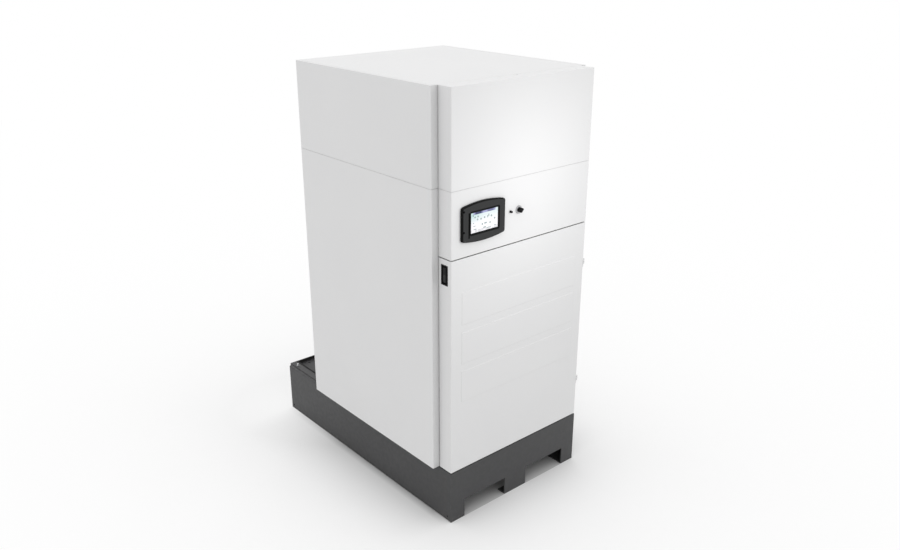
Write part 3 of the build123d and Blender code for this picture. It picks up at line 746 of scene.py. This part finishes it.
def screen_marks():
    """A plain diagram of dots, bars and rules, with no lettering.

    Places are shares of the screen's width and height. The bars' half sizes are in units.
    """
    piece = Piece("screen_marks")
    unit = screen_height / UNITS_UP_SCREEN
    dots = [(0.26, 0.77), (0.24, 0.63), (0.37, 0.62), (0.50, 0.65), (0.76, 0.65), (0.88, 0.49)]
    dots += [(0.42, 0.34), (0.71, 0.33)]
    for across, up in dots:
        matrix = placed(screen_place(across, up), TO_FRONT)
        piece.turned(matrix, disc(DOT_UNITS * unit, 0, MARK_HEIGHT), DOT_SEGMENTS)
    bars = [(0.54, 0.36, 7, 3), (0.62, 0.66, 2.4, 5), (0.66, 0.72, 2.4, 5), (0.08, 0.86, 3, 4)]
    bars += [(0.15, 0.76, 4, 3), (0.51, 0.16, 8, 2.2), (0.66, 0.10, 12, 1.2), (0.15, 0.17, 8, 1.6)]
    bars += [(0.09, 0.48, 2, 2), (0.13, 0.33, 7, 1.4), (0.90, 0.14, 5, 1.6)]
    for across, up, half_across, half_up in bars:
        place = screen_place(across, up)
        half = Vector((half_across * unit, 0, half_up * unit))
        piece.block(place - half - Vector((0, MARK_HEIGHT, 0)), place + half)
    return piece.done("cabinet", "black_plastic", icon_ink)


def bezel_screws():
    piece = Piece("bezel_screws")
    for level in (bezel_high.z - BEZEL_SCREW_FROM_TOP, bezel_low.z + BEZEL_SCREW_FROM_BASE):
        place = (bezel_low.x + BEZEL_SCREW_INSET, bezel_low.y, level)
        button_screw(piece, place, TO_FRONT, BEZEL_SCREW, washer=False)
    return piece.done("cabinet", "black_plastic", deep_black)


# Selector: a bevelled ring with a knurl, and a moulded knob with a tapered grip and pointer
KNOB_TURN = Matrix.Rotation(math.radians(45), 4, "Z")
KNOB_RADIUS = 10.9 * MM
KNOB_CLEARANCE = 0.3 * MM
KNOB_SHOULDER = 1 * MM
SKIRT_CHAMFER = 1 * MM
GRIP_WIDTH = 12 * MM
GRIP_CORNER = 0.3
GRIP_SUNK = 0.2 * MM
GRIP_FOOT = 3 * MM
GRIP_EDGE = 1.2 * MM
POINTER_SUNK = 0.01 * MM
KNURL_DEPTH = 0.5 * MM
KNURL_TEETH = 36


def selector_bezel():
    piece = Piece("selector_bezel")
    matrix = on_axis(ring_low, ring_high, TO_FRONT, ring_high.y)
    radius, height = half_width(ring_low, ring_high), ring_high.y - ring_low.y
    hole = KNOB_RADIUS + KNOB_CLEARANCE
    grip = knurled(radius, KNURL_DEPTH, KNURL_TEETH)
    profile = [(hole, 0), (radius, 0), (radius, 0.2 * height), (grip, 0.28 * height), (grip, 0.62 * height)]
    profile += [(0.93 * radius, 0.84 * height), (0.86 * radius, height), (hole, height), (hole, 0)]
    piece.turned(matrix, profile, 4 * KNURL_TEETH)
    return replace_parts(piece.done("cabinet", "ring_metal"), "selector_ring")


def selector_handle():
    piece = Piece("selector_handle")
    matrix = on_axis(knob_low, knob_high, TO_FRONT, front_y)
    shoulder = front_y - ring_low.y + KNOB_SHOULDER
    neck, top = front_y - knob_high.y, front_y - knob_low.y
    skirt = [(0, neck), (KNOB_RADIUS, neck), (KNOB_RADIUS, shoulder - SKIRT_CHAMFER)]
    skirt += [(0.94 * KNOB_RADIUS, shoulder), (0, shoulder)]
    piece.turned(matrix, skirt, KNOB_ROUND)
    levels = [shoulder - GRIP_SUNK, shoulder + GRIP_FOOT, top - GRIP_EDGE, top]
    shares = [(1.0, 1.0), (0.98, 0.94), (0.95, 0.86), (0.88, 0.70)]
    grip = []
    for level, (length_share, width_share) in zip(levels, shares):
        length, width = 2 * KNOB_RADIUS * length_share, GRIP_WIDTH * width_share
        grip.append((rounded_rectangle(length, width, GRIP_CORNER * width), level))
    piece.plate(matrix @ KNOB_TURN, grip)
    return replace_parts(piece.done("selector", "black_plastic"), "selector_knob")


def selector_pointer():
    """A pale line set into the grip's top."""
    piece = Piece("selector_pointer")
    matrix = on_axis(knob_low, knob_high, TO_FRONT, front_y) @ KNOB_TURN
    top = front_y - knob_low.y - POINTER_SUNK
    start, end, half_line, depth = 1.5 * MM, 8.6 * MM, 0.5 * MM, 0.54 * MM
    piece.block((start, -half_line, top - depth), (end, half_line, top), matrix=matrix)
    return piece.done("selector", "trap_plastic")


def push_switch():
    """A small black push switch with a domed cap."""
    piece = Piece("push_switch")
    matrix = on_axis(switch_low, switch_high, TO_FRONT, front_y)
    radius = half_width(switch_low, switch_high)
    neck, reach = front_y - switch_high.y, front_y - switch_low.y
    nut = reach / 3
    barrel, cap = 0.8 * radius, 0.94 * radius
    profile = [(0, neck), (barrel, neck), (barrel, 0), (radius, 0), (radius, 0.8 * nut), (cap, nut)]
    profile += [(cap, 0.7 * reach), (0.82 * radius, 0.92 * reach)]
    profile += [(0.55 * radius, 0.99 * reach), (0, reach)]
    piece.turned(matrix, profile, KNOB_ROUND)
    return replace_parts(piece.done("cabinet", "black_plastic"), "burner_switch")


# Latch: ribs on the paddle
RIB_COUNT = 7
RIB_PITCH = 4.4 * MM
RIB_WIDTH = 2 * MM
RIB_RISE = 0.4 * MM
RIB_SUNK = 0.3 * MM
RIB_FROM_SIDE = 2.5 * MM
RIB_FROM_BASE = 5 * MM
RIB_ROUND = 0.3 * MM


def paddle_ribs():
    piece = Piece("paddle_ribs")
    for row in range(RIB_COUNT):
        level = paddle_low.z + RIB_FROM_BASE + row * RIB_PITCH
        low = (paddle_low.x - RIB_RISE, paddle_low.y + RIB_FROM_SIDE, level)
        high = (paddle_low.x + RIB_SUNK, paddle_high.y - RIB_FROM_SIDE, level + RIB_WIDTH)
        piece.block(low, high, RIB_ROUND)
    return piece.done("latch", "black_plastic", grey_plastic)


# Skid behind the cabinet: dark rubber strips on the kerbs' inner edges and on the rear plate as painted
# shade, flush strips on the kerbs, bolts on them and on the deck
KERB_WIDTH = 53 * MM
KERB_START = 8 * MM
DECK_PLATE = 5 * MM
EDGING_WIDTH = 9 * MM
EDGING_THICKNESS = 1.5 * MM
EDGING_ROUND = 0.4 * MM
LEDGE_SET_IN = 0.2 * MM
LEDGE_WIDTH = 6.8 * MM
LEDGE_STEP = 2.8 * MM
LEDGE_START = 2 * MM
LEDGE_END = 11 * MM
LEDGE_ROUND = 0.6 * MM
KERB_BOLT = 5.5 * MM
KERB_BOLT_FROM_SIDE = 24.5 * MM
KERB_BOLT_FROM_PLATE = 47.5 * MM
DECK_BOLT = 6 * MM
DECK_BOLT_FROM_SIDE = 112 * MM
DECK_BOLT_FROM_PLATE = 21.5 * MM


def kerb_shade_strips():
    piece = Piece("kerb_shade_strips")
    # Painted shade: dark rubber strips on the kerbs' inner edges and on the rear plate's inner face stand
    # for the shade there.
    top, plate_face = rail_high.z, rail_high.y
    inner = skid_half_width - KERB_WIDTH
    low, high = (rear_y + KERB_START, top), (plate_face, top + EDGING_THICKNESS)
    piece.mirrored_blocks(inner, inner + EDGING_WIDTH, low, high, EDGING_ROUND)
    low = (-inner, plate_face - EDGING_THICKNESS, deck_top + DECK_PLATE)
    piece.block(low, (inner, plate_face, top), EDGING_ROUND)
    return piece.done("cabinet", "black_rubber", dark_foam)


def kerb_strips():
    """Flats beside the kerbs, flush with the skid's sides."""
    piece = Piece("kerb_strips")
    outer = skid_half_width - LEDGE_SET_IN
    low = (rear_y + LEDGE_START, post_low.z)
    high = (rail_high.y - LEDGE_END, rail_high.z - LEDGE_STEP)
    piece.mirrored_blocks(outer - LEDGE_WIDTH, outer, low, high, LEDGE_ROUND)
    return piece.done("cabinet", "skid_paint")


def skid_places(from_side, from_plate, level):
    """A place on each side of the skid, measured from its side and from the rear plate."""
    for side in (-1, 1):
        yield Vector((side * (skid_half_width - from_side), rail_high.y - from_plate, level))


def kerb_bolts():
    piece = Piece("kerb_bolts")
    nut = hexagon(1.05 * KERB_BOLT)
    profile = scaled([(0, 0), (nut, 0), (nut, 1), (0.9, 1.15), (0, 1.15)], KERB_BOLT)
    for place in skid_places(KERB_BOLT_FROM_SIDE, KERB_BOLT_FROM_PLATE, rail_high.z):
        hex_bolt(piece, place, UP, KERB_BOLT)
        piece.turned(placed(place + 0.8 * KERB_BOLT * UP, UP), profile)
    return piece.done("cabinet", "zinc_steel")


def deck_bolts():
    piece = Piece("deck_bolts")
    for place in skid_places(DECK_BOLT_FROM_SIDE, DECK_BOLT_FROM_PLATE, deck_top):
        hex_bolt(piece, place, UP, DECK_BOLT)
    return piece.done("cabinet", "pipe_steel")


# Rear: screws along the panels' edges, and what finishes the connections
PANEL_SCREW = 4.2 * MM
PANEL_SCREW_INSET = 14 * MM
COLLAR_RIM = 22 * MM
COLLAR_THICKNESS = 2 * MM
COLLAR_CHAMFER = 1 * MM
COLLAR_SCREW = 3.4 * MM
BEAD_FROM_END = 40 * MM
BEAD_WIDTH = 9 * MM
BEAD_RISE = 4 * MM
BEAD_STEPS = 6
GAS_PLATE = 4 * MM
GAS_SCREW_CIRCLE = 34.5 * MM
GAS_SCREW = 3.2 * MM
NOZZLE_BORE = 39 * MM
FACE_RADIUS = 63.5 * MM
FACE_SUNK = 0.3 * MM
FACE_CHAMFER = 0.5 * MM


def rear_panel_screws():
    piece = Piece("rear_panel_screws")
    edge = PANEL_SCREW_INSET
    for low, high, rows in ((rear_low, rear_high, 6), (upper_low, upper_high, 3)):
        for row in range(rows):
            level = low.z + edge + row * (high.z - low.z - 2 * edge) / (rows - 1)
            for x in (low.x + edge, high.x - edge, left_high.x - edge, right_low.x + edge):
                button_screw(piece, (x, rear_y, level), TO_REAR, PANEL_SCREW)
    return piece.done("cabinet", "zinc_steel")


def air_inlet_flange():
    piece = Piece("air_inlet_flange")
    matrix = on_axis(collar_low, collar_high, TO_REAR, rear_y)
    radius, top = half_width(collar_low, collar_high), COLLAR_THICKNESS
    rim = radius + COLLAR_RIM
    profile = [(radius, 0), (rim, 0), (rim, 0.6 * top), (rim - COLLAR_CHAMFER, top)]
    profile += [(radius, top), (radius, 0)]
    piece.turned(matrix, profile, PIPE_ROUND)
    for place in round_places(matrix, radius + 0.55 * COLLAR_RIM, top, count=6, first=30):
        button_screw(piece, place, TO_REAR, COLLAR_SCREW, washer=False)
    return piece.done("cabinet", "zinc_steel")


def flue_bead():
    """A rolled bead round the flue pipe."""
    piece = Piece("flue_bead")
    matrix = on_axis(flue_low, flue_high, TO_REAR, flue_high.y)
    radius = half_width(flue_low, flue_high)
    start = (radius, -BEAD_FROM_END - BEAD_WIDTH / 2)
    profile = [start]
    for step in range(BEAD_STEPS + 1):
        angle = math.pi * step / BEAD_STEPS
        level = -BEAD_FROM_END - BEAD_WIDTH / 2 * math.cos(angle)
        profile.append((radius + BEAD_RISE * math.sin(angle), level))
    piece.turned(matrix, [*profile, start], PIPE_ROUND)
    return piece.done("cabinet", "stainless")


def gas_plate_screws():
    piece = Piece("gas_plate_screws")
    matrix = on_axis(gas_low, gas_high, TO_REAR, rear_y + GAS_PLATE)
    for place in round_places(matrix, GAS_SCREW_CIRCLE, 0, count=4, first=45):
        button_screw(piece, place, TO_REAR, GAS_SCREW, washer=False)
    return piece.done("cabinet", "zinc_steel")


def flange_faces():
    """Machined raised faces, set just inside the flanges' ends."""
    piece = Piece("flange_faces")
    profile = [(NOZZLE_BORE, -FACE_SUNK), (FACE_RADIUS, -FACE_SUNK)]
    profile += [(FACE_RADIUS - FACE_CHAMFER, 0), (NOZZLE_BORE, 0)]
    for name in ("supply_nozzle", "return_nozzle"):
        low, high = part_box(name)
        piece.turned(on_axis(low, high, TO_REAR, high.y), [*profile, profile[0]], PIPE_ROUND)
    return piece.done("cabinet", "pipe_steel", steel_face)


# Inside: bands with their catches round the vessel's jacket, weld beads at its ends, the trap's cap
BAND_COUNT = 4
BAND_WIDTH = 20 * MM
BAND_RISE = 0.9 * MM
CATCH_OFFSET = 90 * MM
CATCH_HALF = (16 * MM, 12 * MM)
CATCH_HEIGHT = 3.5 * MM
CATCH_ROUND = 0.8 * MM
CATCH_SCREW = 3.5 * MM
WELD_SIZE = 5 * MM
CAP_GRIP = 32 * MM
CAP_TOP = 28 * MM
CAP_SHOULDER = 13 * MM
CAP_HEIGHT = 16 * MM
CAP_KNURL = 1.2 * MM
CAP_TEETH = 24


def jacket_bands():
    piece = Piece("jacket_bands")
    middle = (shell_low + shell_high) / 2
    radius = half_width(shell_low, shell_high)
    matrix = on_axis(shell_low, shell_high, UP, shell_low.z)
    pitch = (shell_high.z - shell_low.z) / BAND_COUNT
    outer = radius + BAND_RISE
    depth = math.sqrt(radius ** 2 - CATCH_OFFSET ** 2)
    across, up = CATCH_HALF
    for row in range(BAND_COUNT):
        level = (row + 0.5) * pitch
        low, high = level - BAND_WIDTH / 2, level + BAND_WIDTH / 2
        ring = [(radius, low), (outer, low), (outer, high), (radius, high), (radius, low)]
        piece.turned(matrix, ring, DRUM_ROUND)
        place = Vector((middle.x - CATCH_OFFSET, middle.y - depth, shell_low.z + level))
        outward = (place - Vector((middle.x, middle.y, place.z))).normalized()
        local = placed(place, outward)
        piece.block((-across, -up, 0), (across, up, CATCH_HEIGHT), CATCH_ROUND, local)
        button_screw(piece, local @ Vector((0, 0, CATCH_HEIGHT)), outward, CATCH_SCREW, washer=False)
    return piece.done("cabinet", "stainless")


def weld_beads():
    piece = Piece("weld_beads")
    radius = half_width(shell_low, shell_high)
    matrix = on_axis(shell_low, shell_high, UP, 0)
    for level, side in ((shell_low.z, 1), (shell_high.z, -1)):
        waist = level + side * 0.6 * WELD_SIZE
        fillet = [(radius, level), (radius + WELD_SIZE, level), (radius + 0.6 * WELD_SIZE, waist)]
        fillet += [(radius, level + side * WELD_SIZE), (radius, level)]
        piece.turned(matrix, fillet, DRUM_ROUND)
    return piece.done("cabinet", "vessel_steel")


def trap_cap():
    piece = Piece("trap_cap")
    matrix = on_axis(trap_low, trap_high, UP, trap_high.z)
    grip = knurled(CAP_GRIP, CAP_KNURL, CAP_TEETH)
    profile = [(0, 0), (grip, 0), (grip, CAP_SHOULDER), (CAP_TOP, CAP_HEIGHT), (0, CAP_HEIGHT)]
    piece.turned(matrix, profile, 4 * CAP_TEETH)
    return piece.done("cabinet", "black_plastic")


# Hinges: button screws in the leaves and in the brackets' feet
HINGE_SCREW = 2.6 * MM
LEAF_THICKNESS = 2.5 * MM
LEAF_SCREW_DEPTHS = (22 * MM, 36 * MM)
LEAF_SCREW_DROP = 9 * MM
FOOT_THICKNESS = 3 * MM
FOOT_SCREW_RISES = (8 * MM, 22 * MM)
FOOT_SCREW_INSET = 11 * MM


def hinge_screws(name, node, body, spots):
    piece = Piece(name)
    for place, normal in spots(*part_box(node)):
        button_screw(piece, place, normal, HINGE_SCREW, washer=False)
    return piece.done(body, "zinc_steel")


def leaf_spots(low, high):
    for depth in LEAF_SCREW_DEPTHS:
        yield (low.x + LEAF_THICKNESS, front_y + depth, high.z - LEAF_SCREW_DROP), TO_RIGHT


def foot_spots(low, high):
    for rise in FOOT_SCREW_RISES:
        yield (high.x - FOOT_SCREW_INSET, high.y - FOOT_THICKNESS, low.z + rise), TO_FRONT


# Top: the screw that holds the hood's lip
LIP_SCREW = 4.2 * MM
LIP_SCREW_TOP = 3 * MM
LIP_SCREW_EDGE = 0.7 * MM
LIP_SCREW_HEIGHT = 1.2 * MM
LIP_SCREW_TO_RIGHT = 12.5 * MM
LIP_SCREW_FROM_REAR = 6 * MM


def hood_screw():
    piece = Piece("hood_screw")
    place = (LIP_SCREW_TO_RIGHT, hood_high.y - LIP_SCREW_FROM_REAR, hood_high.z - LIP_SCREW_HEIGHT)
    profile = [(0, 0), (LIP_SCREW, 0), (LIP_SCREW, LIP_SCREW_EDGE)]
    profile += [(LIP_SCREW_TOP, LIP_SCREW_HEIGHT), (0, LIP_SCREW_HEIGHT)]
    piece.turned(placed(place, UP), profile)
    return piece.done("cabinet", "black_plastic")


seam_strips()
flange_foam()
panel_folds()
sill_foam()
door_seal()
control_foam()
screen_border()
screen_edge()
screen_marks()
bezel_screws()
selector_bezel()
selector_handle()
selector_pointer()
push_switch()
paddle_ribs()
kerb_shade_strips()
kerb_strips()
kerb_bolts()
deck_bolts()
rear_panel_screws()
air_inlet_flange()
flue_bead()
gas_plate_screws()
flange_faces()
jacket_bands()
weld_beads()
trap_cap()
hood_screw()
for storey in ("lower", "upper"):
    hinge_screws(f"{storey}_leaf_screws", f"{storey}_hinge_leaf", "door", leaf_spots)
    hinge_screws(f"{storey}_bracket_screws", f"{storey}_hinge_bracket", "cabinet", foot_spots)


# Camera, at the photograph's place and angle
LENS = 34.484
SENSOR_WIDTH = 36
CAMERA_PLACE = (-2.5702, -3.2019, 2.5266)
CAMERA_DOWN = 21.331
CAMERA_RIGHT = 40.579

camera_data = bpy.data.cameras.new("camera")
camera_data.lens = LENS
camera_data.sensor_width = SENSOR_WIDTH
camera = bpy.data.objects.new("camera", camera_data)
camera.location = CAMERA_PLACE
camera.rotation_euler = (math.radians(90 - CAMERA_DOWN), 0, math.radians(-CAMERA_RIGHT))
bpy.context.scene.collection.objects.link(camera)
bpy.context.scene.camera = camera


# Floor: pale, with a painted shadow under the skid and near its sides, and plain white further out
FLOOR_SIZE = 80
FLOOR_DROP = 0.3 * MM
FLOOR_BOUNCE = grey(0.62)
WHITE_WITHIN = 0.85
UNDER_BLUR = 0.002
UNDER_DEEP = 0.3
# Painted shadow: floor tones under the skid and beside it
SHADOW_UNDER_EDGE = grey(0.62)
SHADOW_UNDER_SKID = grey(0.2)
SHADOW_BESIDE_SKID = grey(0.49)
CONTACT_SIDE = 0.05
CONTACT_WIDE = 0.35
CONTACT_SHARE = 0.22
CONTACT_END = 0.12
# Painted light: how far and how strongly the floor's shade near the skid's rear is lifted towards white
REAR_FADE = 0.55
REAR_PAINTED_LIGHT = 0.6
REAR_NEAR = 0.1
REAR_REACH = 0.7


def seen_rays(surface):
    """1 for the camera's, glossy and transmitted rays, and 0 for the others."""
    path = surface.tree.nodes.new("ShaderNodeLightPath").outputs
    camera_or_glossy = surface.larger(path["Is Camera Ray"], path["Is Glossy Ray"])
    return surface.larger(camera_or_glossy, path["Is Transmission Ray"])


def off_skid(surface):
    """How far a place on the floor lies outside the skid's outline, along X and Y."""
    middle = (0, (skid_front + skid_rear) / 2, 0)
    half_sizes = (skid_half_width, (skid_rear - skid_front) / 2, 0)
    offset = surface.place
    steps = [("SUBTRACT", middle), ("ABSOLUTE", None), ("SUBTRACT", half_sizes), ("MAXIMUM", (0, 0, 0))]
    for operation, vector in steps:
        values = (offset, vector) if vector else (offset,)
        offset = surface.maths("VectorMath", operation, values)[0]
    return offset


def floor_surface():
    """The floor's tone by the distance from the skid, with a painted shadow under and beside it, a painted
    lift of the shade near its rear, and white light that takes over further out.
    """
    surface = Surface("floor", grey(0.94), 0.9)
    surface.put("Specular IOR Level", 0.1)
    offset = off_skid(surface)
    off_side = surface.node("SeparateXYZ", {"Vector": offset}).outputs["X"]
    distance = surface.maths("VectorMath", "LENGTH", (offset,))["Value"]
    along = surface.along("Y")
    seen = seen_rays(surface)

    # Painted shadow under the skid, darker further in from its front.
    under = surface.fall(off_side, 0.0, UNDER_BLUR)
    under = surface.times(under, surface.span(along, skid_front - UNDER_BLUR, skid_front))
    under = surface.times(under, surface.fall(along, skid_rear, skid_rear + UNDER_BLUR))
    deep = surface.span(along, skid_front, skid_front + UNDER_DEEP)
    painted_shadow_under = surface.blend(surface.times(under, deep), SHADOW_UNDER_EDGE, SHADOW_UNDER_SKID)

    # Painted shadow on the floor along the skid's sides.
    near = surface.fall(off_side, 0.0, CONTACT_SIDE)
    wide = surface.span(off_side, 0.0, CONTACT_WIDE, CONTACT_SHARE, 0.0)
    beside = surface.larger(near, wide)
    beside = surface.times(beside, surface.span(along, skid_front, skid_front + CONTACT_END))
    beside = surface.times(beside, surface.fall(along, skid_rear - CONTACT_END, skid_rear))

    open_tone = surface.mottle(grey(0.92), grey(0.95), size=0.5)
    shaded = surface.blend(beside, surface.blend(seen, FLOOR_BOUNCE, open_tone), SHADOW_BESIDE_SKID)
    surface.put("Base Color", surface.blend(under, shaded, painted_shadow_under))

    fade = surface.maths("Math", "POWER", (math.exp(-1 / WHITE_WITHIN), distance))[0]
    far = surface.fall(fade, 0.0, 1.0)
    # Painted light: near the skid's rear the floor is lifted towards white, over its shade.
    rear = surface.span(along, skid_rear - REAR_FADE, skid_rear, 0.0, REAR_PAINTED_LIGHT)
    rear = surface.times(rear, surface.fall(distance, REAR_NEAR, REAR_REACH))
    rear = surface.times(rear, surface.fall(under, 0.0, 1.0))
    white = surface.tree.nodes.new("ShaderNodeEmission").outputs[0]
    mix = surface.tree.nodes.new("ShaderNodeMixShader")
    whiteness = surface.times(surface.larger(far, rear), seen)
    for socket, value in zip(mix.inputs, (whiteness, surface.shader.outputs[0], white)):
        surface.feed(socket, value)
    surface.feed(surface.tree.nodes["Material Output"].inputs["Surface"], mix.outputs[0])
    return surface.material


def floor():
    half = FLOOR_SIZE / 2
    corners = [(-half, -half, 0), (half, -half, 0), (half, half, 0), (-half, half, 0)]
    data = bpy.data.meshes.new("floor")
    data.from_pydata(corners, [], [(0, 1, 2, 3)])
    data.materials.append(floor_surface())
    made = bpy.data.objects.new("floor", data)
    made.location.z = -FLOOR_DROP
    bpy.context.scene.collection.objects.link(made)


# Light: an even white world, and a soft lamp in front of the hood
AMBIENT = 1.0
LAMP_TARGET = Vector((0.03, front_y, 1.58))
LAMP_DISTANCE = 0.62
LAMP_SIZE = 0.5
LAMP_POWER = 1.65


def world():
    made = bpy.data.worlds.new("studio")
    made.use_nodes = True
    background = made.node_tree.nodes["Background"]
    background.inputs["Color"].default_value = (1.0, 1.0, 1.0, 1.0)
    background.inputs["Strength"].default_value = AMBIENT
    bpy.context.scene.world = made


def front_light():
    """A round lamp that only lights: neither the camera nor reflections show it."""
    data = bpy.data.lights.new("front_light", "AREA")
    data.shape = "DISK"
    data.size = LAMP_SIZE
    data.energy = LAMP_POWER
    lamp = bpy.data.objects.new("front_light", data)
    lamp.location = LAMP_TARGET + LAMP_DISTANCE * TO_FRONT
    lamp.rotation_euler = TO_REAR.to_track_quat("-Z", "Y").to_euler()
    lamp.visible_camera = False
    lamp.visible_glossy = False
    bpy.context.scene.collection.objects.link(lamp)


floor()
world()
front_light()

bpy.context.scene.view_settings.view_transform = "Standard"
